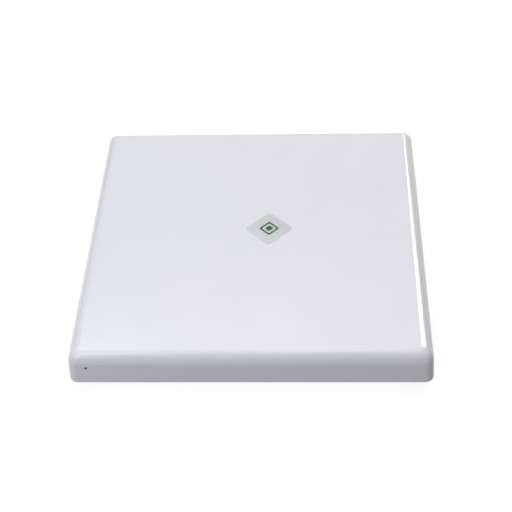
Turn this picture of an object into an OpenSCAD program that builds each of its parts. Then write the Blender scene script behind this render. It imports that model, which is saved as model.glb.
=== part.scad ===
// Flat antenna panel for a shop's security gate: a white moulded cover over an aluminium
// back plate that carries four radiating patches, their feed strip, a coaxial jack and
// four mounting studs.
// Millimetres. +Z points out of the face, +X to the right and -Y out of the front wall.
// The origin is under the middle of the panel, level with the lowest hardware on its back.

/* [Case] */
// Width and depth of the cover at its open rim
case_side = 445; // [370:5:540]
// Height of the cover from its rim to its face
case_height = 44; // [36:1:54]
// Thickness of the cover's walls
wall = 3.5; // [3:0.1:4.2]
// Thickness of the cover's face
face_t = 3; // [2.5:0.1:4]
// Radius of the roll between a wall and the face
roll_r = 16.5; // [13:0.5:20]
// Radius of the upright corners at the rim
corner_r = 12; // [10:0.5:15]
// Slope of the walls, in degrees from upright
draft = 3; // [2:0.5:4]
// Thickness of the lip around the back plate
lip_t = 2; // [1.6:0.1:2.4]
// Thickness of the ribs inside the walls
rib_t = 2; // [1.5:0.1:3]
// Depth of the ribs inside the walls
rib_depth = 9; // [6:0.5:12]

/* [Weep hole] */
// Diameter of the hole in the front wall
weep_d = 3.5; // [2.5:0.1:4.5]
// Distance of the hole from the left edge of the rim
weep_inset = 24; // [18:0.5:32]
// Height of the hole above the rim
weep_height = 24.5; // [16:0.5:26]

/* [Badge] */
// Side of the square badge, which is turned by 45 degrees
badge_side = 45; // [30:1:60]
// Radius of the badge's corners
badge_corner_r = 6; // [3:0.5:9]
// Distance of the badge to the right of the middle
badge_x = 19; // [-60:1:60]
// Distance of the badge behind the middle
badge_y = 6; // [-60:1:60]
// Thickness of the printed film
film_t = 0.3; // [0.2:0.05:0.5]
// Height of the clear dome at its middle
dome_height = 1.7; // [1.3:0.1:2.4]
// Height of the clear dome at its edges
dome_edge = 0.5; // [0.3:0.05:0.8]

/* [Back plate] */
// Thickness of the back plate
plate_t = 2; // [1.5:0.1:3]
// Depth of the back plate inside the rim
plate_recess = 2; // [2:0.1:3]
// Gap between the back plate and the lip, all round
plate_clearance = 0.4; // [0.2:0.05:0.8]
// Thickness of the rim gasket
gasket_t = 1.5; // [1:0.1:2.5]
// Width of the blank rating label
label_w = 80; // [60:1:100]
// Height of the blank rating label
label_h = 45; // [30:1:60]
// Thickness of the blank rating label
label_t = 0.2; // [0.1:0.05:0.4]

/* [Cover screws] */
// Thread diameter
cover_screw_d = 3.5; // [3:0.1:4.2]
// Diameter of the bosses that take the cover screws
boss_d = 9; // [7.5:0.5:11]
// Distance of the screws from the edge of the rim
screw_inset = 14; // [12:0.5:17]
// Length of thread inside a boss
screw_bite = 12; // [8:1:18]
// Extra diameter of a hole that a screw passes through
hole_clearance = 0.5; // [0.3:0.1:1]

/* [Patches] */
// Side of each square patch
patch_side = 135; // [110:1:150]
// Thickness of a patch
patch_t = 1.5; // [1:0.1:2]
// Air gap between the back plate and the patches
air_gap = 12; // [10:0.5:15]
// Diameter of the post under the middle of each patch
post_d = 8; // [7:0.5:10]
// Thread diameter of the post screws
post_screw_d = 4; // [3.3:0.1:4.8]
// Diameter of the nylon spacers
spacer_d = 6; // [5:0.5:8]

/* [Feed strip] */
// Radius of the middle of the feed ring
ring_r = 52.5; // [44:0.5:60]
// Width of the feed ring
ring_w = 12; // [10:0.5:15]
// Width of the feed arms
arm_w = 8; // [7:0.5:10]
// Thickness of the strip
strip_t = 1; // [0.8:0.1:1.2]
// Air gap between the back plate and the strip
strip_gap = 4; // [3:0.5:5]
// Distance of the feed points from the middle of the panel
feed_r = 85; // [78:1:100]
// Thread diameter of the feed screws and nuts
feed_screw_d = 3; // [2.5:0.1:3.6]

/* [Jack] */
// Distance of the jack to the left of and in front of the middle
jack_offset = 75; // [62:1:90]
// Diameter of the jack's outer thread
jack_thread_d = 15.88; // [14:0.01:18]
// Length of the threaded barrel behind the flange
barrel_length = 12.2; // [10.5:0.1:14]
// Side of the square flange
flange_side = 25.4; // [24:0.1:30]
// Thickness of the flange
flange_t = 3; // [2.5:0.1:4]
// Spacing of the flange screws
flange_screw_pitch = 18.2; // [17.5:0.1:21]
// Thread diameter of the flange screws
flange_screw_d = 3; // [2.5:0.1:3.5]
// Thickness of the gasket under the flange
jack_gasket_t = 0.8; // [0.5:0.1:1.2]

/* [Mounting studs] */
// Thread diameter
stud_d = 6; // [5:0.1:8]
// Spacing of the studs along each side of their square
stud_spacing = 100; // [84:1:120]
// Length of stud behind the back plate
stud_length = 18; // [15:0.5:25]
// Width of the shoulder that is pressed into the plate, all round the thread
stud_shoulder = 0.6; // [0.4:0.1:1.2]

/* [Hidden] */
$fn = 96;
cut = 1;

jack_reach = jack_gasket_t + flange_t + barrel_length;
plate_z = max(stud_length, jack_reach);
rim_z = plate_z - plate_recess;
plate_top = plate_z + plate_t;
seat_height = plate_recess + plate_t + gasket_t;
face_z = rim_z + case_height;

lip_side = case_side - 2*lip_t;
plate_side = lip_side - 2*plate_clearance;
plate_corner_r = corner_r - lip_t - plate_clearance;
cavity_side = case_side - 2*wall/cos(draft);

screw_line = case_side/2 - screw_inset;
cover_head_d = 2*cover_screw_d;
cover_head_h = plate_recess;
gasket_margin = 6;

patch_offset = 0.238*case_side;
patch_corner_r = 3;
patch_z = plate_top + air_gap;
patch_top = patch_z + patch_t;
patch_signs = [[-1, -1], [1, -1], [-1, 1], [1, 1]];
spacer_offset = 0.41*patch_side;
spacer_pin_d = spacer_d/2;
spacer_foot_d = 2*spacer_d;
spacer_foot_t = 1;
post_screw_bite = 0.4*air_gap;
post_head_d = 2*post_screw_d;
post_head_h = 0.55*post_screw_d;

strip_z = plate_top + strip_gap;
strip_top = strip_z + strip_t;
feed_angles = [45, 135, 225, 315];
tab_r = feed_r - 6;
foot_length = 12;
nut_t = 0.8*feed_screw_d;
nut_width = 1.83*feed_screw_d;
feed_head_d = 1.9*feed_screw_d;
feed_head_h = 0.6*feed_screw_d;
support_angles = [-67.5, 22.5, 112.5];
support_d = 7;
support_pin_d = 3;
support_cap_d = 5;
support_cap_t = 0.8;

flange_z = plate_z - jack_gasket_t - flange_t;
mouth_z = flange_z - barrel_length;
mouth_d = 0.51*jack_thread_d;
mouth_depth = 0.72*barrel_length;
spigot_d = 11.5;
insulator_d = 7;
insulator_rise = 1.5;
contact_d = 3;
contact_socket_d = 1.7;
contact_recess = 4.6;
contact_rise = 0.6;
flange_head_d = 1.8*flange_screw_d;
flange_head_h = 0.6*flange_screw_d;

stud_circle_r = stud_spacing/sqrt(2);
stud_shoulder_d = stud_d + 2*stud_shoulder;
stud_head_d = stud_shoulder_d + 1.8;
stud_head_t = 1.2;

// ---- shared shapes ----

module rounded_square(side, r) {
    square([side, side - 2*r], center = true);
    square([side - 2*r, side], center = true);
    for (x = [-1, 1], y = [-1, 1])
        translate([x, y]*(side/2 - r)) circle(r);
}

// Upright section of the case: sloping walls that roll into a flat face
module case_profile(side, height, roll) {
    roll_z = height - roll;
    roll_x = side/2 - (roll + roll_z*sin(draft))/cos(draft);
    wall_x = roll_x + roll*cos(draft);
    wall_z = roll_z + roll*sin(draft);
    polygon([
        [-side/2, 0], [side/2, 0], [wall_x, wall_z],
        [roll_x, height], [-roll_x, height], [-wall_x, wall_z]
    ]);
    for (x = [-roll_x, roll_x])
        translate([x, roll_z]) circle(roll);
}

// Solid block with the case's section both ways and rounded upright corners
module case_block(side, height, roll, corner) {
    intersection() {
        rotate([90, 0, 0])
            linear_extrude(side + 2*cut, center = true) case_profile(side, height, roll);
        rotate([90, 0, 90])
            linear_extrude(side + 2*cut, center = true) case_profile(side, height, roll);
        translate([0, 0, -cut])
            linear_extrude(height + 2*cut) rounded_square(side, corner);
    }
}

// Screw with its head's seat at z = 0: the shank points up and the head hangs below
module pan_screw(shank_d, length, head_d, head_h) {
    slot_w = 0.18*head_d;
    slot_l = 0.6*head_d;
    slot_h = 0.6*head_h;
    difference() {
        union() {
            cylinder(h = length, d = shank_d);
            translate([0, 0, -head_h]) cylinder(h = head_h, d1 = 0.86*head_d, d2 = head_d);
        }
        for (turn = [0, 90])
            rotate(turn) translate([-slot_l/2, -slot_w/2, -head_h - cut])
                cube([slot_l, slot_w, slot_h + cut]);
    }
}

// ---- places ----

module at_cover_screws() {
    for (turn = [0:90:270], x = [-screw_line/3, screw_line/3, screw_line])
        rotate(turn) translate([x, screw_line]) children();
}

module at_patches() {
    for (sign = patch_signs)
        translate(sign*patch_offset) children();
}

module at_spacers() {
    for (turn = [0:90:270])
        rotate(turn) translate([spacer_offset, 0]) children();
}

module at_feeds() {
    for (angle = feed_angles)
        rotate(angle) translate([feed_r, 0]) children();
}

module at_supports() {
    for (angle = support_angles)
        rotate(angle) translate([ring_r, 0]) children();
}

module at_jack() {
    translate([-jack_offset, -jack_offset]) children();
}

module at_flange_screws() {
    for (x = [-1, 1], y = [-1, 1])
        translate([x, y]*flange_screw_pitch/2) children();
}

module at_studs() {
    for (turn = [0:90:270])
        rotate(turn) translate([stud_circle_r, 0]) children();
}

// ---- cover and badge ----

// Bosses, the webs that tie them to the walls, and the plain ribs between them
module cover_ribs() {
    translate([0, 0, seat_height]) {
        at_cover_screws() cylinder(h = case_height, d = boss_d);
        for (turn = [0:90:270]) rotate(turn) {
            for (x = [-screw_line, -screw_line/3, screw_line/3, screw_line])
                translate([x - rib_t/2, screw_line, 0])
                    cube([rib_t, screw_inset, case_height]);
            for (x = [-2/3, 0, 2/3]*screw_line)
                translate([x - rib_t/2, cavity_side/2 - rib_depth, 0])
                    cube([rib_t, rib_depth + wall, case_height]);
        }
    }
}

module radome() {
    color("#f1f1f3")
    translate([0, 0, rim_z])
    difference() {
        case_block(case_side, case_height, roll_r, corner_r);
        difference() {
            case_block(cavity_side, case_height - face_t, roll_r - wall, corner_r - wall);
            cover_ribs();
        }
        translate([0, 0, -cut])
            linear_extrude(seat_height + cut) rounded_square(lip_side, corner_r - lip_t);
        translate([0, 0, seat_height - cut])
            at_cover_screws() cylinder(h = screw_bite + 2*cut, d = cover_screw_d);
        translate([weep_inset - case_side/2, 1 - case_side/2 + wall, weep_height])
            rotate([90, 0, 0]) cylinder(h = wall + 4, d = weep_d);
    }
}

module badge_outline(height) {
    linear_extrude(height) rounded_square(badge_side, badge_corner_r);
}

module badge_film() {
    color("#dcdede")
    translate([badge_x, badge_y, face_z]) rotate(45) badge_outline(film_t);
}

// Block whose top is a shallow arch, seen along Y
module dome_arch(height, arch_r) {
    rotate([90, 0, 0])
        linear_extrude(2*badge_side, center = true)
        intersection() {
            translate([-badge_side, 0]) square([2*badge_side, height]);
            translate([0, height - arch_r]) circle(arch_r, $fn = 720);
        }
}

module badge_dome() {
    reach = badge_side/2;
    rise = dome_height - dome_edge;
    arch_r = (reach*reach + rise*rise)/(2*rise);
    color("#e8eeee", 0.5)
    translate([badge_x, badge_y, face_z + film_t]) rotate(45)
    intersection() {
        badge_outline(dome_height + cut);
        dome_arch(dome_height, arch_r);
        rotate(90) dome_arch(dome_height, arch_r);
    }
}

// ---- back plate and its seal ----

module rim_gasket() {
    outer = plate_side - 2*plate_clearance;
    inner = 2*(screw_line - gasket_margin);
    color("#2b2b2b")
    translate([0, 0, plate_top])
    linear_extrude(gasket_t)
    difference() {
        rounded_square(outer, plate_corner_r);
        rounded_square(inner, corner_r/2);
        at_cover_screws() circle(d = cover_screw_d + hole_clearance);
    }
}

module back_plate() {
    color("#b9bcc0")
    difference() {
        translate([0, 0, plate_z])
        linear_extrude(plate_t)
        difference() {
            rounded_square(plate_side, plate_corner_r);
            at_cover_screws() circle(d = cover_screw_d + hole_clearance);
            at_patches() circle(d = post_screw_d);
            at_studs() circle(d = stud_shoulder_d);
            at_jack() circle(d = spigot_d);
            at_jack() at_flange_screws() circle(d = flange_screw_d);
        }
        at_patches() translate([0, 0, plate_z]) post_screw_head();
    }
}

module cover_screws() {
    color("#c9cccf")
    at_cover_screws() translate([0, 0, plate_z])
        pan_screw(cover_screw_d, plate_t + gasket_t + screw_bite, cover_head_d, cover_head_h);
}

module rating_label() {
    color("#e4e4de")
    translate([-label_w/2, stud_circle_r + label_h/2, plate_z - label_t])
        cube([label_w, label_h, label_t]);
}

// ---- patches ----

module patch(sign) {
    feed_place = sign*feed_r/sqrt(2);
    color("#c6c9cc")
    translate([0, 0, patch_z])
    linear_extrude(patch_t)
    difference() {
        translate(sign*patch_offset) rounded_square(patch_side, patch_corner_r);
        translate(sign*patch_offset) circle(d = post_screw_d + hole_clearance);
        translate(sign*patch_offset) at_spacers() circle(d = spacer_pin_d);
        translate(feed_place) circle(d = feed_screw_d + hole_clearance);
    }
}

module patch_front_left() {
    patch([-1, -1]);
}

module patch_front_right() {
    patch([1, -1]);
}

module patch_rear_left() {
    patch([-1, 1]);
}

module patch_rear_right() {
    patch([1, 1]);
}

module patch_posts() {
    color("#caa85a")
    at_patches() translate([0, 0, plate_top])
    difference() {
        cylinder(h = air_gap, d = post_d);
        translate([0, 0, -cut]) cylinder(h = air_gap + 2*cut, d = post_screw_d);
    }
}

// Countersunk head that fills the plate's thickness from its rear face
module post_screw_head() {
    cylinder(h = plate_t, d1 = post_head_d, d2 = post_screw_d);
}

module post_screws_rear() {
    socket_d = 0.6*post_screw_d;
    color("#c9cccf")
    at_patches() translate([0, 0, plate_z])
    difference() {
        union() {
            post_screw_head();
            cylinder(h = plate_t + post_screw_bite, d = post_screw_d);
        }
        translate([0, 0, -cut]) cylinder(h = plate_t/2 + cut, d = socket_d, $fn = 6);
    }
}

module post_screws_front() {
    color("#c9cccf")
    at_patches() translate([0, 0, patch_top]) mirror([0, 0, 1])
        pan_screw(post_screw_d, patch_t + post_screw_bite, post_head_d, post_head_h);
}

module patch_spacers() {
    color("#ecece6")
    at_patches() at_spacers() translate([0, 0, plate_top]) {
        cylinder(h = spacer_foot_t, d = spacer_foot_d);
        cylinder(h = air_gap, d = spacer_d);
        cylinder(h = air_gap + patch_t + 1, d = spacer_pin_d);
    }
}

// ---- feed strip ----

// Flat outline: three quarters of a ring, four arms, and the trunk to the jack
module strip_outline() {
    wedge = 2*ring_r;
    trunk_length = jack_offset*sqrt(2) - ring_r;
    difference() {
        circle(ring_r + ring_w/2);
        circle(ring_r - ring_w/2);
        polygon([[0, 0], [-wedge, -wedge], [-wedge, wedge]]);
    }
    for (angle = feed_angles)
        rotate(angle) translate([ring_r, -arm_w/2]) square([tab_r + strip_t - ring_r, arm_w]);
    rotate(225) translate([ring_r, -arm_w/2]) square([trunk_length, arm_w]);
    at_jack() circle(d = 1.4*arm_w);
}

// Upright tab and the foot that meets the underside of a patch
module strip_tab() {
    rise = air_gap - strip_gap;
    translate([tab_r - feed_r, -arm_w/2, 0]) cube([strip_t, arm_w, rise]);
    translate([tab_r - feed_r, -arm_w/2, rise - strip_t]) cube([foot_length, arm_w, strip_t]);
}

module feed_strip() {
    color("#c8a049")
    translate([0, 0, strip_z])
    difference() {
        union() {
            linear_extrude(strip_t) strip_outline();
            at_feeds() strip_tab();
        }
        at_jack() translate([0, 0, -cut]) cylinder(h = strip_t + 2*cut, d = contact_d);
        at_supports() translate([0, 0, -cut]) cylinder(h = strip_t + 2*cut, d = support_pin_d);
        at_feeds() translate([0, 0, strip_t + cut])
            cylinder(h = air_gap, d = feed_screw_d + hole_clearance);
    }
}

module feed_screws() {
    color("#c9cccf")
    at_feeds() translate([0, 0, patch_top]) mirror([0, 0, 1])
        pan_screw(feed_screw_d, patch_t + strip_t + nut_t + 0.3, feed_head_d, feed_head_h);
}

module feed_nuts() {
    color("#c9cccf")
    at_feeds() translate([0, 0, patch_z - strip_t - nut_t])
    difference() {
        cylinder(h = nut_t, d = nut_width/cos(30), $fn = 6);
        translate([0, 0, -cut]) cylinder(h = nut_t + 2*cut, d = feed_screw_d);
    }
}

module strip_supports() {
    color("#ecece6")
    at_supports() translate([0, 0, plate_top]) {
        cylinder(h = strip_gap, d = support_d);
        cylinder(h = strip_gap + strip_t + support_cap_t, d = support_pin_d);
        translate([0, 0, strip_gap + strip_t]) cylinder(h = support_cap_t, d = support_cap_d);
    }
}

// ---- jack ----

module jack_body() {
    color("#c2c4c6")
    at_jack()
    difference() {
        union() {
            translate([0, 0, flange_z])
                linear_extrude(flange_t) rounded_square(flange_side, 2);
            translate([0, 0, mouth_z]) cylinder(h = barrel_length, d = jack_thread_d);
            translate([0, 0, flange_z]) cylinder(h = plate_top - flange_z, d = spigot_d);
        }
        translate([0, 0, mouth_z - cut]) cylinder(h = mouth_depth + cut, d = mouth_d);
        translate([0, 0, mouth_z]) cylinder(h = plate_top - mouth_z + cut, d = insulator_d);
        at_flange_screws() translate([0, 0, flange_z - cut])
            cylinder(h = flange_t + 2*cut, d = flange_screw_d);
    }
}

module jack_insulator() {
    bottom = mouth_z + mouth_depth;
    color("#f5f5ef")
    at_jack() translate([0, 0, bottom])
    difference() {
        cylinder(h = plate_top + insulator_rise - bottom, d = insulator_d);
        translate([0, 0, -cut]) cylinder(h = plate_top, d = contact_d);
    }
}

module jack_contact() {
    tip = mouth_z + contact_recess;
    color("#cfae5c")
    at_jack() translate([0, 0, tip])
    difference() {
        cylinder(h = strip_top + contact_rise - tip, d = contact_d);
        translate([0, 0, -cut]) cylinder(h = contact_recess + cut, d = contact_socket_d);
    }
}

module jack_gasket() {
    color("#2b2b2b")
    at_jack() translate([0, 0, plate_z - jack_gasket_t])
    linear_extrude(jack_gasket_t)
    difference() {
        rounded_square(flange_side, 2);
        circle(d = spigot_d);
        at_flange_screws() circle(d = flange_screw_d);
    }
}

module jack_screws() {
    color("#c9cccf")
    at_jack() at_flange_screws() translate([0, 0, flange_z])
        pan_screw(flange_screw_d, plate_top - flange_z, flange_head_d, flange_head_h);
}

// ---- mounting studs ----

module mounting_studs() {
    color("#c2c4c6")
    at_studs() {
        translate([0, 0, plate_z - stud_length]) cylinder(h = stud_length + cut, d = stud_d);
        translate([0, 0, plate_z]) cylinder(h = plate_t, d = stud_shoulder_d);
        translate([0, 0, plate_top]) cylinder(h = stud_head_t, d = stud_head_d);
    }
}

radome();
badge_film();
badge_dome();
rim_gasket();
back_plate();
cover_screws();
rating_label();
patch_front_left();
patch_front_right();
patch_rear_left();
patch_rear_right();
patch_posts();
post_screws_rear();
post_screws_front();
patch_spacers();
feed_strip();
feed_screws();
feed_nuts();
strip_supports();
jack_body();
jack_insulator();
jack_contact();
jack_gasket();
jack_screws();
mounting_studs();
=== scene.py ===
import math

import bmesh
import bpy
from mathutils import Matrix, Vector


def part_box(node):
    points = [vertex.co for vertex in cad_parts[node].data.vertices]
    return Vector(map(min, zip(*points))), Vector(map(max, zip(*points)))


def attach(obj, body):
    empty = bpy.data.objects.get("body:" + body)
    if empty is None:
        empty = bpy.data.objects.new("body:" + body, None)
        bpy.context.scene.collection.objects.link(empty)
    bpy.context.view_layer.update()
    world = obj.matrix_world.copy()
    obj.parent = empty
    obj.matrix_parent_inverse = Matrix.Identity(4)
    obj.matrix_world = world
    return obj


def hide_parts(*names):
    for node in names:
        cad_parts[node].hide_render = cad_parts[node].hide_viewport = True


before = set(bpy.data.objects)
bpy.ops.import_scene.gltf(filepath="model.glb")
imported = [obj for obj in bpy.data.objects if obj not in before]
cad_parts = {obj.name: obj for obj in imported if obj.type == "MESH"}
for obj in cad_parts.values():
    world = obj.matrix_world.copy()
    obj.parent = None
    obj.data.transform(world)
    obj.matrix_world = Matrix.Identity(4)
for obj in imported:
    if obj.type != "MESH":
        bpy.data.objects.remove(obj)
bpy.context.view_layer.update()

MM = 0.001

# ---- sizes, in metres, taken from the frame or named here ----

RADOME_LOW, RADOME_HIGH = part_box("radome")
PLATE_LOW, PLATE_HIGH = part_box("back_plate")
GASKET_LOW, GASKET_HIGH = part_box("rim_gasket")
DOME_LOW, DOME_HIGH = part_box("badge_dome")
FILM_LOW, FILM_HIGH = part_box("badge_film")
LABEL_LOW, LABEL_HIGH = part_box("rating_label")
STUDS_LOW, STUDS_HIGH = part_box("mounting_studs")
FLANGE_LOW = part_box("jack_gasket")[0]
JACK_LOW, JACK_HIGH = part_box("jack_body")
CONTACT_LOW, CONTACT_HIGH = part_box("jack_contact")
PATCH_LOW, PATCH_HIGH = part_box("patch_rear_right")

CASE_HALF = RADOME_HIGH.x
RIM_Z = RADOME_LOW.z
FACE_Z = RADOME_HIGH.z
WALL = 3.5*MM
FACE_T = 3*MM
LIP_T = 2*MM
ROLL_R = 16.5*MM
CORNER_R = 12*MM
RIDGE_R = 2*MM
DRAFT = math.radians(3)
RIM_EDGE_R = 0.5*MM
SEAT_HEIGHT = GASKET_HIGH.z - RIM_Z

SCREW_LINE = CASE_HALF - 14*MM
COVER_SCREW_D = 3.5*MM
BOSS_D = 9*MM
RIB_T = 2*MM
RIB_DEPTH = 9*MM
SCREW_BITE = 12*MM
WEEP_D = 3.5*MM
WEEP_X = 24*MM - CASE_HALF
WEEP_Z = RIM_Z + 24.5*MM
# what is left of the wall round the weep hole, inside a pocket that keeps the hole dark
WEEP_WALL = 0.4*MM
WEEP_POCKET_D = 3*WEEP_D
# turns an upright piece to lie along Y
LYING = Matrix.Rotation(math.pi/2, 4, "X")

BADGE_HALF = 22.5*MM
BADGE_CORNER_R = 6*MM
BADGE_MIDDLE = (DOME_LOW + DOME_HIGH)/2

PLATE_T = PLATE_HIGH.z - PLATE_LOW.z
STUD_D = 6*MM
STUD_SHOULDER_R = STUD_D/2 + 0.6*MM
STUD_HEAD_R = 4.5*MM
STUD_CIRCLE_R = STUDS_HIGH.x - STUD_HEAD_R
JACK_MIDDLE = (JACK_LOW + JACK_HIGH)/2
JACK_THREAD_D = 15.88*MM
FLANGE_T = 3*MM
FLANGE_Z = FLANGE_LOW.z - FLANGE_T
FLANGE_PITCH = 18.2*MM
POST_MIDDLE = (PATCH_LOW.x + PATCH_HIGH.x)/2
POST_SCREW_D, POST_SCREW_HEAD_D = 4*MM, 8*MM
FEED_SCREW_D, FEED_SCREW_HEAD_D = 3*MM, 5.7*MM
FEED_NUT_WIDTH = 5.49*MM
FEED_CIRCLE_R = 85*MM

# vertices nearer than this become one: cuts through a thread leave slivers
WELD = 3e-6


# ---- mesh helpers ----

def new_piece(name, bm):
    """An object at the origin made of the bmesh, which is used up."""
    bmesh.ops.recalc_face_normals(bm, faces=bm.faces)
    mesh = bpy.data.meshes.new(name)
    bm.to_mesh(mesh)
    bm.free()
    piece = bpy.data.objects.new(name, mesh)
    bpy.context.scene.collection.objects.link(piece)
    return piece


def carve(piece, tool, operation):
    """Cuts piece with tool, joins them or keeps what they share. The tool is used up."""
    step = piece.modifiers.new("carve", "BOOLEAN")
    step.operation = operation
    step.object = tool
    step.solver = "EXACT"
    step.use_self = True
    graph = bpy.context.evaluated_depsgraph_get()
    shaped = bpy.data.meshes.new_from_object(piece.evaluated_get(graph))
    piece.modifiers.clear()
    blank, piece.data = piece.data, shaped
    bpy.data.meshes.remove(blank)
    bpy.data.objects.remove(tool)


def rounded_square(bm, half, corner, z, segments):
    """A flat rounded square round the Z axis, as one face."""
    made = bmesh.ops.create_grid(bm, x_segments=1, y_segments=1, size=half)
    bmesh.ops.bevel(bm, geom=made["verts"], offset=corner, segments=segments,
                    affect="VERTICES", profile=0.5, material=-1, offset_type="OFFSET")
    bmesh.ops.translate(bm, verts=bm.verts, vec=(0, 0, z))
    return bm.faces[:][0]


def square_loft(name, rings, segments):
    """A closed piece whose sections are rounded squares: rings holds (half, corner, z)."""
    bm = bmesh.new()
    half, corner, z = rings[0]
    rounded_square(bm, half, corner, z, segments)
    bm.verts.ensure_lookup_table()
    arc = {}
    for v in bm.verts:
        middle = Vector((math.copysign(half - corner, v.co.x),
                         math.copysign(half - corner, v.co.y)))
        arc[v] = (v.co.xy - middle)/corner
    edges = bm.edges[:]
    for half, corner, z in rings[1:]:
        below = set(edges)
        old = {v for e in below for v in e.verts}
        made = bmesh.ops.extrude_edge_only(bm, edges=edges)["geom"]
        verts = [g for g in made if isinstance(g, bmesh.types.BMVert)]
        for v in verts:
            source = next(e.other_vert(v) for e in v.link_edges if e.other_vert(v) in old)
            arc[v] = arc[source]
            middle_x = math.copysign(half - corner, source.co.x)
            middle_y = math.copysign(half - corner, source.co.y)
            v.co = (middle_x + arc[v].x*corner, middle_y + arc[v].y*corner, z)
        edges = [g for g in made
                 if isinstance(g, bmesh.types.BMEdge) and all(v in verts for v in g.verts)]
    bmesh.ops.contextual_create(bm, geom=edges)
    return new_piece(name, bm)


def turned(name, profile, steps):
    """A closed piece turned round the Z axis: profile holds (radius, z) from axis to axis."""
    bm = bmesh.new()
    points = [bm.verts.new((radius, 0, z)) for radius, z in profile]
    line = [bm.edges.new(pair) for pair in zip(points, points[1:])]
    bmesh.ops.spin(bm, geom=points + line, cent=(0, 0, 0), axis=(0, 0, 1), dvec=(0, 0, 0),
                   angle=math.tau, steps=steps, use_merge=True, use_duplicate=False)
    bmesh.ops.remove_doubles(bm, verts=bm.verts, dist=1e-7)
    return new_piece(name, bm)


def box(name, low, high):
    bm = bmesh.new()
    bmesh.ops.create_cube(bm, size=1)
    size = Vector(high) - Vector(low)
    bmesh.ops.scale(bm, verts=bm.verts, vec=size)
    bmesh.ops.translate(bm, verts=bm.verts, vec=Vector(low) + size/2)
    return new_piece(name, bm)


def pin(name, radius, low, high, middle=(0, 0), steps=48):
    """A plain upright cylinder between two heights."""
    bm = bmesh.new()
    bmesh.ops.create_cone(bm, cap_ends=True, segments=steps, radius1=radius, radius2=radius,
                          depth=high - low)
    bmesh.ops.translate(bm, verts=bm.verts, vec=(*middle, (low + high)/2))
    return new_piece(name, bm)


def threaded_rod(name, outer_r, pitch, low, high, steps=28):
    """A rod with a true helical thread, chamfered at its lower end."""
    root_r = outer_r - 0.6*pitch
    turns = math.ceil((high - low)/pitch) + 4
    bm = bmesh.new()
    start = low - 2*pitch
    line = [(root_r, 0), (root_r, 0.12), (outer_r, 0.46), (outer_r, 0.58), (root_r, 0.92),
            (root_r, 1)]
    points = [bm.verts.new((r, 0, start + share*pitch)) for r, share in line]
    sides = [bm.edges.new(pair) for pair in zip(points, points[1:])]
    bmesh.ops.spin(bm, geom=points + sides, cent=(0, 0, 0), axis=(0, 0, 1),
                   dvec=(0, 0, pitch/steps), angle=math.tau*turns, steps=steps*turns,
                   use_merge=False, use_duplicate=False)
    bmesh.ops.remove_doubles(bm, verts=bm.verts, dist=1e-6)
    bmesh.ops.holes_fill(bm, edges=[e for e in bm.edges if e.is_boundary], sides=0)
    rod = new_piece(name, bm)
    chamfer = 0.7*pitch
    envelope = turned(name + "_envelope", [
        (0, low), (outer_r - chamfer, low), (outer_r + 0.1*MM, low + chamfer + 0.1*MM),
        (outer_r + 0.1*MM, high), (0, high),
    ], 2*steps)
    carve(rod, envelope, "INTERSECT")
    return rod


def place_copies(piece, spots):
    """Turns piece into one mesh with a copy at every (matrix) spot."""
    bm = bmesh.new()
    for spot in spots:
        first = len(bm.verts)
        bm.from_mesh(piece.data)
        bm.verts.ensure_lookup_table()
        bmesh.ops.transform(bm, matrix=spot, verts=bm.verts[first:])
    bm.to_mesh(piece.data)
    bm.free()


def join(pieces):
    """Puts the meshes of several pieces into the first one."""
    first, *rest = pieces
    bm = bmesh.new()
    for piece in pieces:
        bm.from_mesh(piece.data)
    bm.to_mesh(first.data)
    bm.free()
    for piece in rest:
        bpy.data.objects.remove(piece)
    return first


def done(piece, finish, *nodes, slot=None, crease=32):
    """Shades the piece, gives it its finish, and hides the nodes it stands for."""
    bm = bmesh.new()
    bm.from_mesh(piece.data)
    bmesh.ops.remove_doubles(bm, verts=bm.verts, dist=WELD)
    bmesh.ops.dissolve_degenerate(bm, dist=WELD, edges=bm.edges)
    bm.to_mesh(piece.data)
    bm.free()
    piece.data.shade_smooth()
    piece.data.set_sharp_from_angle(angle=math.radians(crease))
    flow = piece.modifiers.new("even_normals", "WEIGHTED_NORMAL")
    flow.keep_sharp = True
    flow.weight = 80
    piece.data.materials.clear()
    piece.data.materials.append(finish)
    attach(piece, "root")
    if nodes:
        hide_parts(*nodes)
    return piece


def round_the_axis(radius, count, start=0.0):
    """Turned places on a circle."""
    return [Matrix.Rotation(start + math.tau*k/count, 4, "Z") @ Matrix.Translation((radius, 0, 0))
            for k in range(count)]


# ---- finishes ----

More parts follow.
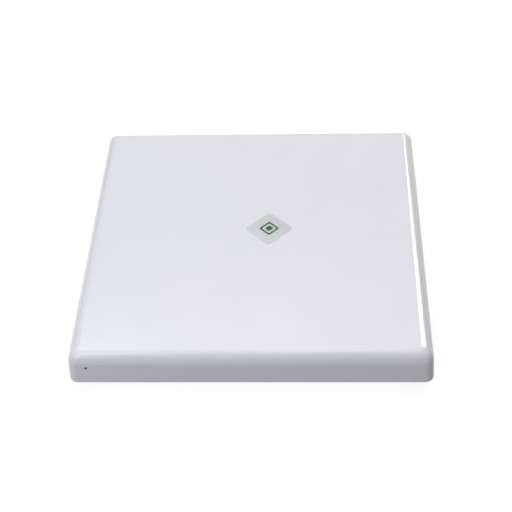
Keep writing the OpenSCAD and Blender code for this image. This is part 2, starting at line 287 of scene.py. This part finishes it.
class Finish:
    """A procedural material on object coordinates, built up a layer at a time."""

    def __init__(self, name, metallic=0.0):
        self.material = bpy.data.materials.new(name)
        self.material.use_nodes = True
        tree = self.material.node_tree
        self.nodes, self.links = tree.nodes, tree.links
        self.shader = self.nodes["Principled BSDF"]
        self.shader.inputs["Metallic"].default_value = metallic
        self.coords = self.nodes.new("ShaderNodeTexCoord").outputs["Object"]
        self.relief = None

    def set(self, **values):
        for name, value in values.items():
            self.shader.inputs[name.replace("_", " ")].default_value = value
        return self

    def grain(self, size, detail=3.0, stretch=(1, 1, 1), turn=0.0):
        """Cloudy noise whose patches are about size across, longer where stretch is above 1."""
        place = self.nodes.new("ShaderNodeMapping")
        place.inputs["Scale"].default_value = [1/(size*s) for s in stretch]
        place.inputs["Rotation"].default_value = (0, 0, turn)
        noise = self.nodes.new("ShaderNodeTexNoise")
        noise.inputs["Scale"].default_value = 1.0
        noise.inputs["Detail"].default_value = detail
        self.links.new(self.coords, place.inputs["Vector"])
        self.links.new(place.outputs["Vector"], noise.inputs["Vector"])
        return noise.outputs["Fac"]

    def mixed(self, factor, low, high):
        blend = self.nodes.new("ShaderNodeMix")
        blend.data_type = "RGBA"
        blend.inputs["A"].default_value = (*low, 1)
        blend.inputs["B"].default_value = (*high, 1)
        self.links.new(factor, blend.inputs["Factor"])
        return blend.outputs["Result"]

    def over(self, factor, under, top):
        """top laid over under where factor is 1."""
        blend = self.nodes.new("ShaderNodeMix")
        blend.data_type = "RGBA"
        self.links.new(factor, blend.inputs["Factor"])
        self.links.new(under, blend.inputs["A"])
        blend.inputs["B"].default_value = (*top, 1)
        return blend.outputs["Result"]

    def ranged(self, factor, low, high, start=0.3, end=0.7):
        """factor carried from start..end to low..high."""
        span = self.nodes.new("ShaderNodeMapRange")
        span.inputs["From Min"].default_value = start
        span.inputs["From Max"].default_value = end
        span.inputs["To Min"].default_value = low
        span.inputs["To Max"].default_value = high
        self.links.new(factor, span.inputs["Value"])
        return span.outputs["Result"]

    def height(self):
        """The Z coordinate."""
        split = self.nodes.new("ShaderNodeSeparateXYZ")
        self.links.new(self.coords, split.inputs["Vector"])
        return split.outputs["Z"]

    def times(self, a, b):
        product = self.nodes.new("ShaderNodeMath")
        product.operation = "MULTIPLY"
        self.links.new(a, product.inputs[0])
        self.links.new(b, product.inputs[1])
        return product.outputs["Value"]

    def colour(self, result):
        self.links.new(result, self.shader.inputs["Base Color"])
        return self

    def roughness(self, result):
        self.links.new(result, self.shader.inputs["Roughness"])
        return self

    def bump(self, factor, depth):
        """Adds a relief of that depth in metres."""
        bump = self.nodes.new("ShaderNodeBump")
        bump.inputs["Strength"].default_value = 1.0
        bump.inputs["Distance"].default_value = depth
        self.links.new(factor, bump.inputs["Height"])
        if self.relief:
            self.links.new(self.relief, bump.inputs["Normal"])
        self.relief = bump.outputs["Normal"]
        self.links.new(self.relief, self.shader.inputs["Normal"])
        return self


def glossy_white():
    """Moulded white plastic: faint clouding, fine orange peel, darker brownish patches low on the
    walls.
    """
    f = Finish("glossy_white_plastic")
    f.set(IOR=1.5, Specular_IOR_Level=0.5)
    cloud = f.mixed(f.ranged(f.grain(60*MM, 4), 0, 1), (0.765, 0.768, 0.792), (0.786, 0.787, 0.806))
    speck = f.ranged(f.grain(1.6*MM, 2), 0, 1, 0.72, 0.8)
    # darker brownish patches on the walls, strongest at the rim and gone 12 mm above it
    low = f.ranged(f.height(), 1, 0, RIM_Z, RIM_Z + 12*MM)
    darker_near_rim = f.times(low, f.ranged(f.grain(9*MM, 5), 0, 0.16, 0.45, 0.8))
    colour = f.over(darker_near_rim, cloud, (0.62, 0.61, 0.58))
    specks = f.times(speck, f.ranged(f.grain(35*MM, 2), 0, 0.35))
    colour = f.over(specks, colour, (0.66, 0.66, 0.66))
    f.colour(colour)
    f.roughness(f.ranged(f.grain(22*MM, 4), 0.08, 0.13))
    f.bump(f.grain(2.2*MM, 2), 0.006*MM)
    f.bump(f.grain(45*MM, 1), 0.03*MM)
    return f.material


def brushed(name, dark, light, rough=(0.3, 0.45), turn=0.0, metallic=1.0):
    """Rolled or brushed sheet metal, with its streaks along one direction and faint smudges."""
    f = Finish(name, metallic)
    streak = f.grain(0.25*MM, 3, (160, 1, 1), turn)
    long_streak = f.grain(2.5*MM, 2, (60, 1, 1), turn)
    smudge = f.ranged(f.grain(40*MM, 5), 0, 0.35, 0.5, 0.75)
    base = f.mixed(f.ranged(long_streak, 0, 1), dark, light)
    f.colour(f.over(f.times(smudge, streak), base, [0.8*c for c in dark]))
    f.roughness(f.ranged(streak, *rough))
    f.bump(streak, 0.004*MM)
    return f.material


def machined(name, dark, light, rough=(0.18, 0.32)):
    """Plated or turned small metal parts: fine tool grain and slight tarnish."""
    f = Finish(name, 1.0)
    tarnish = f.ranged(f.grain(2.5*MM, 5), 0, 1, 0.35, 0.7)
    f.colour(f.mixed(tarnish, light, dark))
    f.roughness(f.ranged(f.grain(0.7*MM, 4), *rough))
    f.bump(f.grain(0.18*MM, 3, (4, 4, 1)), 0.004*MM)
    return f.material


def nylon(name, tint):
    """Milky plastic that lets a little light in."""
    f = Finish(name)
    f.set(Subsurface_Weight=0.25, Subsurface_Scale=0.5*MM)
    f.colour(f.mixed(f.ranged(f.grain(3*MM, 4), 0, 1), [0.93*c for c in tint], tint))
    f.roughness(f.ranged(f.grain(1*MM, 3), 0.38, 0.52))
    f.bump(f.grain(0.5*MM, 2), 0.006*MM)
    return f.material


def foam_rubber(name, pore, depth):
    """Black rubber with open pores."""
    f = Finish(name)
    pores = f.grain(pore, 5)
    f.colour(f.mixed(f.ranged(pores, 0, 1), (0.009, 0.009, 0.01), (0.028, 0.028, 0.03)))
    f.roughness(f.ranged(pores, 0.85, 0.7))
    f.bump(pores, depth)
    return f.material


def printed_film(name, tint):
    """Printed plastic film with a faint paper-like mottling."""
    f = Finish(name)
    f.colour(f.mixed(f.ranged(f.grain(4*MM, 4), 0, 1), [0.97*c for c in tint], tint))
    f.roughness(f.ranged(f.grain(2*MM, 3), 0.34, 0.46))
    f.bump(f.grain(0.4*MM, 2), 0.002*MM)
    return f.material


def clear_resin():
    f = Finish("clear_resin")
    f.set(Transmission_Weight=1.0, IOR=1.43)
    f.colour(f.mixed(f.ranged(f.grain(12*MM, 2), 0, 1),
                     (0.988, 0.995, 0.992), (0.994, 0.998, 0.996)))
    f.roughness(f.ranged(f.grain(6*MM, 3), 0.02, 0.06))
    f.bump(f.grain(8*MM, 1), 0.01*MM)
    return f.material


WHITE = glossy_white()
STEEL = machined("stainless_steel", (0.45, 0.45, 0.46), (0.62, 0.62, 0.63))
ZINC = machined("zinc_plate", (0.5, 0.51, 0.53), (0.68, 0.69, 0.71), (0.22, 0.38))
NICKEL = machined("satin_nickel", (0.5, 0.48, 0.44), (0.68, 0.66, 0.61), (0.2, 0.33))
GOLD = machined("gold_plate", (0.82, 0.6, 0.2), (0.95, 0.73, 0.32), (0.12, 0.24))
BRASS = machined("turned_brass", (0.6, 0.42, 0.16), (0.78, 0.58, 0.26))
SHEET_BRASS = brushed("rolled_brass", (0.62, 0.44, 0.17), (0.76, 0.57, 0.26), turn=0.6)
PLATE_METAL = brushed("brushed_aluminium_plate", (0.55, 0.56, 0.58), (0.66, 0.67, 0.69))
PATCH_METAL = brushed("rolled_aluminium_patch", (0.6, 0.61, 0.63), (0.71, 0.72, 0.74),
                      rough=(0.26, 0.4), turn=math.pi/2)
NYLON = nylon("natural_nylon", (0.8, 0.79, 0.73))
FLUORO = nylon("white_fluoropolymer", (0.86, 0.86, 0.84))
FOAM = foam_rubber("foam_gasket", 0.5*MM, 0.08*MM)
RUBBER = foam_rubber("sheet_rubber", 1.2*MM, 0.01*MM)
FILM = printed_film("badge_film_print", (0.955, 0.96, 0.96))
GREEN = printed_film("badge_green_ink", (0.004, 0.15, 0.02))
LABEL = printed_film("silver_label", (0.8, 0.8, 0.78))
LABEL_LINE = printed_film("label_line_ink", (0.09, 0.09, 0.1))
RESIN = clear_resin()


# ---- cover ----

def case_rings(inset, top_z, roll, corner, steps):
    """Sections of the case from the end of the straight wall to the flat face."""
    roll_z = top_z - roll
    lean = (roll + (roll_z - RIM_Z)*math.sin(DRAFT))/math.cos(DRAFT)
    roll_half = CASE_HALF - inset - lean
    rings = []
    for k in range(steps + 1):
        turn = DRAFT + (math.pi/2 - DRAFT)*k/steps
        inward = 1 - math.cos(turn)
        radius = corner + (min(RIDGE_R, corner) - corner)*inward
        rings.append((roll_half + roll*math.cos(turn), radius, roll_z + roll*math.sin(turn)))
    return rings


def wall_half(inset, z):
    return CASE_HALF - inset - (z - RIM_Z)*math.tan(DRAFT)


def cover_ribs():
    """Bosses with their webs and the ribs between them, cut to the shape of the hollow."""
    seat = RIM_Z + SEAT_HEIGHT
    bosses = [(SCREW_LINE/3, SCREW_LINE), (-SCREW_LINE/3, SCREW_LINE), (SCREW_LINE, SCREW_LINE)]
    made = [pin("boss", BOSS_D/2, seat, FACE_Z, spot) for spot in bosses]
    for x in (-1, -1/3, 1/3, 1):
        middle = x*SCREW_LINE
        made.append(box("web", (middle - RIB_T/2, SCREW_LINE, seat),
                        (middle + RIB_T/2, CASE_HALF, FACE_Z)))
    for x in (-2/3, 0, 2/3):
        middle = x*SCREW_LINE
        made.append(box("rib", (middle - RIB_T/2, CASE_HALF - WALL - RIB_DEPTH, seat),
                        (middle + RIB_T/2, CASE_HALF, FACE_Z)))
    ribs = join(made)
    place_copies(ribs, round_the_axis(0, 4))
    sink = 1.2*MM
    inner_r = CORNER_R - WALL
    inner = case_rings(WALL - sink, FACE_Z - FACE_T + sink, ROLL_R - WALL + sink, inner_r, 16)
    hollow = square_loft("hollow", [(wall_half(WALL - sink, seat), inner_r, seat)] + inner, 12)
    carve(ribs, hollow, "INTERSECT")
    return ribs


def radome():
    seat = RIM_Z + SEAT_HEIGHT
    outer = case_rings(0, FACE_Z, ROLL_R, CORNER_R, 26)
    inner = case_rings(WALL/math.cos(DRAFT), FACE_Z - FACE_T, ROLL_R - WALL, CORNER_R - WALL, 14)
    rim = [
        (wall_half(0, RIM_Z + RIM_EDGE_R) - (1 - math.sin(turn))*RIM_EDGE_R, CORNER_R,
         RIM_Z + (1 - math.cos(turn))*RIM_EDGE_R)
        for turn in [math.pi/2*k/4 for k in range(5)]
    ]
    lip_half = CASE_HALF - LIP_T
    lip = [(lip_half, CORNER_R - LIP_T, RIM_Z), (lip_half, CORNER_R - LIP_T, seat),
           (wall_half(WALL/math.cos(DRAFT), seat), CORNER_R - WALL, seat)]
    cover = square_loft("radome_cover", outer[::-1] + rim[::-1] + lip + inner, 16)
    carve(cover, cover_ribs(), "UNION")
    spots = [(x, SCREW_LINE) for x in (-SCREW_LINE/3, SCREW_LINE/3, SCREW_LINE)]
    pilots = join([pin("pilot", COVER_SCREW_D/2, seat - MM, seat + SCREW_BITE + MM, s, 32)
                   for s in spots])
    place_copies(pilots, round_the_axis(0, 4))
    carve(cover, pilots, "DIFFERENCE")
    wall_y = -wall_half(0, WEEP_Z)
    for across, start in ((WEEP_D, -WALL), (WEEP_POCKET_D, WEEP_WALL)):
        drill = pin("weep_drill", across/2, 0, 2*WALL - start)
        place_copies(drill, [Matrix.Translation((WEEP_X, wall_y + 2*WALL, WEEP_Z)) @ LYING])
        carve(cover, drill, "DIFFERENCE")
    return done(cover, WHITE, "radome")


# ---- badge ----

def onto_badge(piece):
    """Turns the piece by 45 degrees and sets it over the badge's middle."""
    spot = Matrix.Translation((BADGE_MIDDLE.x, BADGE_MIDDLE.y, 0))
    place_copies(piece, [spot @ Matrix.Rotation(math.pi/4, 4, "Z")])
    return piece


def badge():
    edge = 0.06*MM
    film = square_loft("badge_film_sheet", [
        (BADGE_HALF, BADGE_CORNER_R, FILM_LOW.z), (BADGE_HALF, BADGE_CORNER_R, FILM_HIGH.z - edge),
        (BADGE_HALF - edge, BADGE_CORNER_R - edge, FILM_HIGH.z),
    ], 12)
    done(onto_badge(film), FILM, "badge_film")

    ink_low = FILM_HIGH.z
    ink_high = ink_low + 0.02*MM
    ring = square_loft("badge_ink_ring", [(9.5*MM, 2.5*MM, ink_low), (9.5*MM, 2.5*MM, ink_high)], 8)
    inside = square_loft("ring_inside", [
        (7*MM, 1.5*MM, ink_low - MM), (7*MM, 1.5*MM, ink_high + MM),
    ], 8)
    carve(ring, inside, "DIFFERENCE")
    core = square_loft("badge_ink_core", [(4*MM, 1*MM, ink_low), (4*MM, 1*MM, ink_high)], 8)
    done(onto_badge(join([ring, core])), GREEN, slot="badge_film")

    base = FILM_HIGH.z - 0.03*MM
    meniscus, crown = 1.8*MM, 0.45*MM
    rise = DOME_HIGH.z - base - crown
    insets = [meniscus*(1 - math.cos(math.pi/2*k/10)) for k in range(11)]
    insets += [meniscus + (BADGE_HALF - meniscus - 0.4*MM)*k/12 for k in range(1, 13)]
    rings = [(BADGE_HALF - 0.3*MM, BADGE_CORNER_R, base)]
    for inset in insets:
        half = BADGE_HALF - 0.05*MM - inset
        share = inset/BADGE_HALF
        up = rise*math.sqrt(1 - (1 - min(inset/meniscus, 1))**2) + crown*(1 - (1 - share)**2)
        corner_share = BADGE_CORNER_R/BADGE_HALF*(1 - share) + 0.98*share
        rings.append((half, half*corner_share, base + up + 0.1*MM*(1 - share)))
    dome = square_loft("badge_resin_dome", rings, 12)
    done(onto_badge(dome), RESIN, "badge_dome", crease=60)


# ---- fasteners ----

def cross_recess(head_d, seat_z, depth):
    """The tapered cross that a driver fits, as a cutting tool."""
    blades = []
    for turn in (0, math.pi/2):
        bm = bmesh.new()
        bmesh.ops.create_cone(bm, cap_ends=True, segments=4, radius1=0.45*head_d,
                              radius2=0.16*head_d, depth=2*depth)
        bmesh.ops.rotate(bm, verts=bm.verts, matrix=Matrix.Rotation(math.pi/4, 3, "Z"))
        bmesh.ops.scale(bm, verts=bm.verts, vec=(1, 0.24, 1))
        bmesh.ops.rotate(bm, verts=bm.verts, matrix=Matrix.Rotation(turn, 3, "Z"))
        bmesh.ops.translate(bm, verts=bm.verts, vec=(0, 0, seat_z))
        blades.append(new_piece("blade", bm))
    return join(blades)


def pan_screw(name, thread_d, pitch, length, head_d, head_h, steps=20):
    """A screw that points up from its seat at z = 0, with a domed head below."""
    crown = [(0, -head_h)]
    for k in range(1, 9):
        turn = math.pi/2*k/8
        crown.append((head_d/2*math.sin(turn)**0.8, -head_h*(0.3 + 0.7*math.cos(turn))))
    head = turned(name, crown + [(head_d/2, -0.08*head_h), (0.97*head_d/2, 0), (0.7*thread_d/2, 0),
                                 (0.7*thread_d/2, 0.3*MM), (0, 0.3*MM)], 40)
    carve(head, cross_recess(head_d, -head_h, 0.55*head_h), "DIFFERENCE")
    shank = threaded_rod(name + "_shank", thread_d/2, pitch, 0, length - 0.2*MM, steps)
    place_copies(shank, [Matrix.Translation((0, 0, length)) @ Matrix.Rotation(math.pi, 4, "X")])
    carve(head, shank, "UNION")
    return head


def hex_nut(name, width, thickness, hole_d):
    """A hexagon nut standing on z = 0, with its corners turned down."""
    bm = bmesh.new()
    corner_r = width/2/math.cos(math.pi/6)
    bmesh.ops.create_cone(bm, cap_ends=True, segments=6, radius1=corner_r, radius2=corner_r,
                          depth=thickness + 0.4*MM)
    bmesh.ops.translate(bm, verts=bm.verts, vec=(0, 0, thickness/2))
    nut = new_piece(name, bm)
    low, high = 0.12*thickness, 0.88*thickness
    round_r = corner_r + 0.02*MM
    carve(nut, turned("nut_rounding", [(0, 0), (0.95*width/2, 0), (round_r, low), (round_r, high),
                                      (0.95*width/2, thickness), (0, thickness)], 48), "INTERSECT")
    carve(nut, pin("nut_hole", hole_d/2, -MM, thickness + MM), "DIFFERENCE")
    return nut


def upright(places, z):
    return [Matrix.Translation((0, 0, z)) @ p for p in places]


def upside_down(places, z):
    flip = Matrix.Rotation(math.pi, 4, "X")
    return [Matrix.Translation((0, 0, z)) @ p @ flip for p in places]


def cover_screws():
    length = PLATE_T + (GASKET_HIGH.z - GASKET_LOW.z) + SCREW_BITE
    screw = pan_screw("cover_screw_set", COVER_SCREW_D, 1.3*MM, length, 2*COVER_SCREW_D,
                      PLATE_LOW.z - RIM_Z, 24)
    spots = [Matrix.Rotation(math.pi/2*k, 4, "Z") @ Matrix.Translation((x, SCREW_LINE, 0))
             for k in range(4) for x in (-SCREW_LINE/3, SCREW_LINE/3, SCREW_LINE)]
    place_copies(screw, upright(spots, PLATE_LOW.z))
    done(screw, STEEL, "cover_screws")


def post_and_feed_screws():
    posts = [Matrix.Translation((x*POST_MIDDLE, y*POST_MIDDLE, 0))
             for x in (-1, 1) for y in (-1, 1)]
    low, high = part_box("post_screws_front")
    screw = pan_screw("post_screw_front_set", POST_SCREW_D, 0.7*MM, PATCH_HIGH.z - low.z,
                      POST_SCREW_HEAD_D, high.z - PATCH_HIGH.z)
    place_copies(screw, upside_down(posts, PATCH_HIGH.z))
    done(screw, STEEL, "post_screws_front")

    feeds = round_the_axis(FEED_CIRCLE_R, 4, math.pi/4)
    low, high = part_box("feed_screws")
    screw = pan_screw("feed_screw_set", FEED_SCREW_D, 0.5*MM, PATCH_HIGH.z - low.z,
                      FEED_SCREW_HEAD_D, high.z - PATCH_HIGH.z)
    place_copies(screw, upside_down(feeds, PATCH_HIGH.z))
    done(screw, STEEL, "feed_screws")

    low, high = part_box("feed_nuts")
    nut = hex_nut("feed_nut_set", FEED_NUT_WIDTH, high.z - low.z, FEED_SCREW_D)
    place_copies(nut, upright(feeds, low.z))
    done(nut, STEEL, "feed_nuts")


def mounting_studs():
    root = STUDS_LOW.z
    stud = threaded_rod("mounting_stud_set", STUD_D/2, 1*MM, root, PLATE_LOW.z - 0.4*MM, 36)
    neck_r = STUD_D/2
    shoulder_r, head_r = STUD_SHOULDER_R, STUD_HEAD_R
    top = STUDS_HIGH.z
    body = turned("stud_body", [
        (0, PLATE_LOW.z - 0.8*MM), (neck_r - 0.5*MM, PLATE_LOW.z - 0.8*MM),
        (neck_r, PLATE_LOW.z - 0.3*MM),
        (neck_r, PLATE_LOW.z), (shoulder_r, PLATE_LOW.z), (shoulder_r, PLATE_HIGH.z),
        (head_r, PLATE_HIGH.z), (head_r, top - 0.3*MM),
        (head_r - 0.3*MM, top), (0, top),
    ], 48)
    carve(stud, body, "UNION")
    place_copies(stud, round_the_axis(STUD_CIRCLE_R, 4))
    done(stud, ZINC, "mounting_studs")


# ---- jack ----

def at_jack(piece):
    place_copies(piece, [Matrix.Translation((JACK_MIDDLE.x, JACK_MIDDLE.y, 0))])
    return piece


def flange_spots():
    return [(x*FLANGE_PITCH/2, y*FLANGE_PITCH/2) for x in (-1, 1) for y in (-1, 1)]


def jack():
    barrel_r = JACK_THREAD_D/2
    half = (JACK_HIGH.x - JACK_LOW.x)/2
    mouth_z = JACK_LOW.z
    edge = 0.4*MM
    body = square_loft("jack_shell", [
        (half - edge, 2*MM - edge, FLANGE_Z), (half, 2*MM, FLANGE_Z + edge),
        (half, 2*MM, FLANGE_LOW.z),
    ], 10)
    carve(body, threaded_rod("barrel", barrel_r, 1.058*MM, mouth_z, FLANGE_Z - 1.2*MM, 48), "UNION")
    carve(body, pin("neck", barrel_r - 0.8*MM, FLANGE_Z - 1.6*MM, FLANGE_Z + MM, steps=64), "UNION")
    carve(body, pin("spigot", 5.75*MM, FLANGE_Z + MM, JACK_HIGH.z, steps=64), "UNION")
    mouth_r = 0.51*barrel_r
    shelf = mouth_z + 0.72*12.2*MM
    bore = turned("bore", [
        (0, mouth_z - MM), (mouth_r + 0.5*MM, mouth_z - MM), (mouth_r + 0.5*MM, mouth_z),
        (mouth_r, mouth_z + 0.5*MM), (mouth_r, shelf), (3.5*MM, shelf), (3.5*MM, JACK_HIGH.z + MM),
        (0, JACK_HIGH.z + MM),
    ], 64)
    carve(body, bore, "DIFFERENCE")
    holes = join([pin("flange_hole", 1.5*MM, FLANGE_Z - MM, FLANGE_LOW.z + MM, s, 32)
                  for s in flange_spots()])
    carve(body, holes, "DIFFERENCE")
    done(at_jack(body), NICKEL, "jack_body")

    contact_r = 1.5*MM
    contact = turned("jack_contact_tube", [
        (0, CONTACT_LOW.z + 4.6*MM), (0.85*MM, CONTACT_LOW.z + 4.6*MM),
        (0.85*MM, CONTACT_LOW.z + 0.3*MM), (1.05*MM, CONTACT_LOW.z),
        (contact_r - 0.2*MM, CONTACT_LOW.z), (contact_r, CONTACT_LOW.z + 0.3*MM),
        (contact_r, CONTACT_HIGH.z - 0.2*MM), (contact_r - 0.2*MM, CONTACT_HIGH.z),
        (0, CONTACT_HIGH.z),
    ], 48)
    slot_half = 0.15*MM
    for across in ((2*MM, slot_half), (slot_half, 2*MM)):
        carve(contact, box("contact_slot", (-across[0], -across[1], CONTACT_LOW.z - MM),
                           (across[0], across[1], CONTACT_LOW.z + 4*MM)), "DIFFERENCE")
    done(at_jack(contact), GOLD, "jack_contact")

    low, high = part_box("jack_screws")
    screw = pan_screw("jack_screw_set", 3*MM, 0.5*MM, high.z - FLANGE_Z, 5.4*MM, FLANGE_Z - low.z)
    place_copies(screw, upright([Matrix.Translation((*s, 0)) for s in flange_spots()], FLANGE_Z))
    done(at_jack(screw), STEEL, "jack_screws")


# ---- label on the back ----

def rating_label():
    """A blank label: silver film with a thin frame and two empty ruled fields."""
    middle = (LABEL_LOW + LABEL_HIGH)/2
    size = LABEL_HIGH - LABEL_LOW
    corner = 2*MM
    bm = bmesh.new()
    bmesh.ops.create_cube(bm, size=1)
    bmesh.ops.scale(bm, verts=bm.verts, vec=(size.x, size.y, 0.8*size.z))
    upright_edges = [e for e in bm.edges if abs(e.verts[0].co.z - e.verts[1].co.z) > 1e-6]
    bmesh.ops.bevel(bm, geom=upright_edges, offset=corner, segments=8, affect="EDGES",
                    profile=0.5, material=-1)
    bmesh.ops.translate(bm, verts=bm.verts, vec=(middle.x, middle.y, LABEL_HIGH.z - 0.4*size.z))
    done(new_piece("rating_label_sheet", bm), LABEL, "rating_label")
    line_t = 0.35*MM
    low_z, high_z = LABEL_LOW.z, LABEL_LOW.z + 0.2*size.z
    left, right = middle.x - size.x/2 + 3*MM, middle.x + size.x/2 - 3*MM
    front, back = middle.y - size.y/2 + 3*MM, middle.y + size.y/2 - 3*MM
    third = (back - front)/3
    made = []
    for y in (front, front + third, front + 2*third, back):
        made.append(box("label_lines", (left, y - line_t/2, low_z), (right, y + line_t/2, high_z)))
    for x in (left, right):
        made.append(box("side_line", (x - line_t/2, front - line_t/2, low_z),
                        (x + line_t/2, back + line_t/2, high_z)))
    lines = made[0]
    for bar in made[1:]:
        carve(lines, bar, "UNION")
    done(lines, LABEL_LINE, slot="rating_label")


# ---- finishes of the nodes that keep their shape ----

def coat(node, finish):
    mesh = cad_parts[node].data
    mesh.materials.clear()
    mesh.materials.append(finish)


KEPT = {
    "back_plate": PLATE_METAL,
    "rim_gasket": FOAM,
    "patch_front_left": PATCH_METAL,
    "patch_front_right": PATCH_METAL,
    "patch_rear_left": PATCH_METAL,
    "patch_rear_right": PATCH_METAL,
    "patch_posts": BRASS,
    "post_screws_rear": STEEL,
    "patch_spacers": NYLON,
    "feed_strip": SHEET_BRASS,
    "strip_supports": NYLON,
    "jack_insulator": FLUORO,
    "jack_gasket": RUBBER,
}


# ---- floor, light and camera ----

FLOOR_GLOW = 0.78
ROOM_LIGHT = 0.16


def floor_and_room():
    """A glowing white floor that colours nothing by bounced light, in an evenly lit room."""
    bm = bmesh.new()
    bmesh.ops.create_circle(bm, cap_ends=True, segments=96, radius=30)
    floor = new_piece("floor", bm)
    floor.visible_diffuse = False
    floor.visible_shadow = False
    f = Finish("pale_floor")
    f.colour(f.mixed(f.ranged(f.grain(0.3, 3), 0, 1), (0.33, 0.33, 0.33), (0.34, 0.34, 0.34)))
    f.set(Roughness=0.9, Specular_IOR_Level=0.0, Emission_Color=(1, 1, 1, 1),
          Emission_Strength=FLOOR_GLOW)
    floor.data.materials.append(f.material)

    world = bpy.data.worlds.new("studio")
    bpy.context.scene.world = world
    world.use_nodes = True
    room = world.node_tree.nodes["Background"]
    room.inputs["Color"].default_value = (1, 1, 1, 1)
    room.inputs["Strength"].default_value = ROOM_LIGHT


# name, degrees round from the back towards the right, degrees up, width and height in metres,
# strength, colour
SOFTBOXES = [
    ("overhead", 0, 88, 1.3, 1.3, 1.78, (1.06, 1.05, 0.92)),
    ("high_back", 350, 58, 2.2, 1.1, 1.32, (1.04, 1.01, 0.95)),
    ("high_front_left", 225, 58, 1.1, 1.1, 3.3, (0.907, 0.945, 1.15)),
    ("high_back_left", 315, 58, 1.1, 1.1, 1.75, (0.853, 0.928, 1.15)),
    ("front_fill", 210, 30, 0.75, 1.0, 6.54, (0.987, 0.962, 1.049)),
    ("window_low", 38, 30, 0.99, 0.335, 8.39, (1.01, 1.0, 0.985)),
    ("window_middle", 34, 38, 0.66, 0.335, 8.39, (1.01, 1.0, 0.985)),
    ("window_high", 30, 46, 0.33, 0.335, 8.39, (1.01, 1.0, 0.985)),
]
SOFTBOX_DISTANCE = 2.4

# lamps that the flat face mirrors: wider, and fading out towards the rim
SOFT_LAMPS = ("overhead", "high_back", "high_front_left", "high_back_left")
SOFT_LAMP_SPREAD = 1.6
# mean of the fade over the square lamp, so that softening keeps its power
SOFT_LAMP_MEAN = 0.2356


def soften(lamp):
    """Makes the lamp brightest in its middle and dark at its rim: its reflection has no edge."""
    lamp.use_nodes = True
    nodes, links = lamp.node_tree.nodes, lamp.node_tree.links
    glow = next(n for n in nodes if n.type == "EMISSION")
    spot = nodes.new("ShaderNodeNewGeometry")
    off = nodes.new("ShaderNodeVectorMath")
    off.operation = "DISTANCE"
    off.inputs[1].default_value = (0.5, 0.5, 0)
    fade = nodes.new("ShaderNodeMapRange")
    fade.interpolation_type = "SMOOTHSTEP"
    fade.inputs["From Min"].default_value = 0.5
    fade.inputs["From Max"].default_value = 0.0
    fade.inputs["To Min"].default_value = 0.0
    fade.inputs["To Max"].default_value = 1/SOFT_LAMP_MEAN
    links.new(spot.outputs["Parametric"], off.inputs[0])
    links.new(off.outputs["Value"], fade.inputs["Value"])
    links.new(fade.outputs["Result"], glow.inputs["Strength"])


def studio_light():
    for name, around, up, width, height, strength, tint in SOFTBOXES:
        around, up = math.radians(around), math.radians(up)
        lamp = bpy.data.lights.new(name, "AREA")
        lamp.shape = "RECTANGLE"
        lamp.size, lamp.size_y = width, height
        lamp.energy = strength*math.pi*width*height
        lamp.color = tint
        if name in SOFT_LAMPS:
            lamp.size, lamp.size_y = SOFT_LAMP_SPREAD*width, SOFT_LAMP_SPREAD*height
            soften(lamp)
        holder = bpy.data.objects.new(name, lamp)
        bpy.context.scene.collection.objects.link(holder)
        away = Vector((math.sin(around)*math.cos(up), math.cos(around)*math.cos(up), math.sin(up)))
        holder.location = Vector((0, 0, FACE_Z)) + away*SOFTBOX_DISTANCE
        holder.rotation_mode = "QUATERNION"
        holder.rotation_quaternion = away.to_track_quat("Z", "Y")


# degrees from the front towards the right, degrees up, degrees of lean
CAMERA_TURNS = (3.78, 43.58, -2.91)
CAMERA_DISTANCE = 1.6014
SENSOR_WIDTH = 36.0
# focal length as a share of the sensor's width
FOCAL_SHARE = 2.3168


def camera():
    azimuth, elevation, roll = (math.radians(turn) for turn in CAMERA_TURNS)
    away = Vector((math.sin(azimuth)*math.cos(elevation), -math.cos(azimuth)*math.cos(elevation),
                   math.sin(elevation)))
    right = Vector((0, 0, 1)).cross(away).normalized()
    up = away.cross(right)
    leaned_right = right*math.cos(roll) + up*math.sin(roll)
    leaned_up = up*math.cos(roll) - right*math.sin(roll)
    lens = bpy.data.cameras.new("camera")
    lens.sensor_width = SENSOR_WIDTH
    lens.lens = SENSOR_WIDTH*FOCAL_SHARE
    holder = bpy.data.objects.new("camera", lens)
    bpy.context.scene.collection.objects.link(holder)
    turn = Matrix((leaned_right, leaned_up, away)).transposed().to_4x4()
    holder.matrix_world = Matrix.Translation(Vector((0, 0, RIM_Z)) + away*CAMERA_DISTANCE) @ turn
    bpy.context.scene.camera = holder


camera()
floor_and_room()
studio_light()
bpy.context.scene.view_settings.view_transform = "Standard"

radome()
badge()
cover_screws()
post_and_feed_screws()
mounting_studs()
jack()
rating_label()
for node, finish in KEPT.items():
    coat(node, finish)
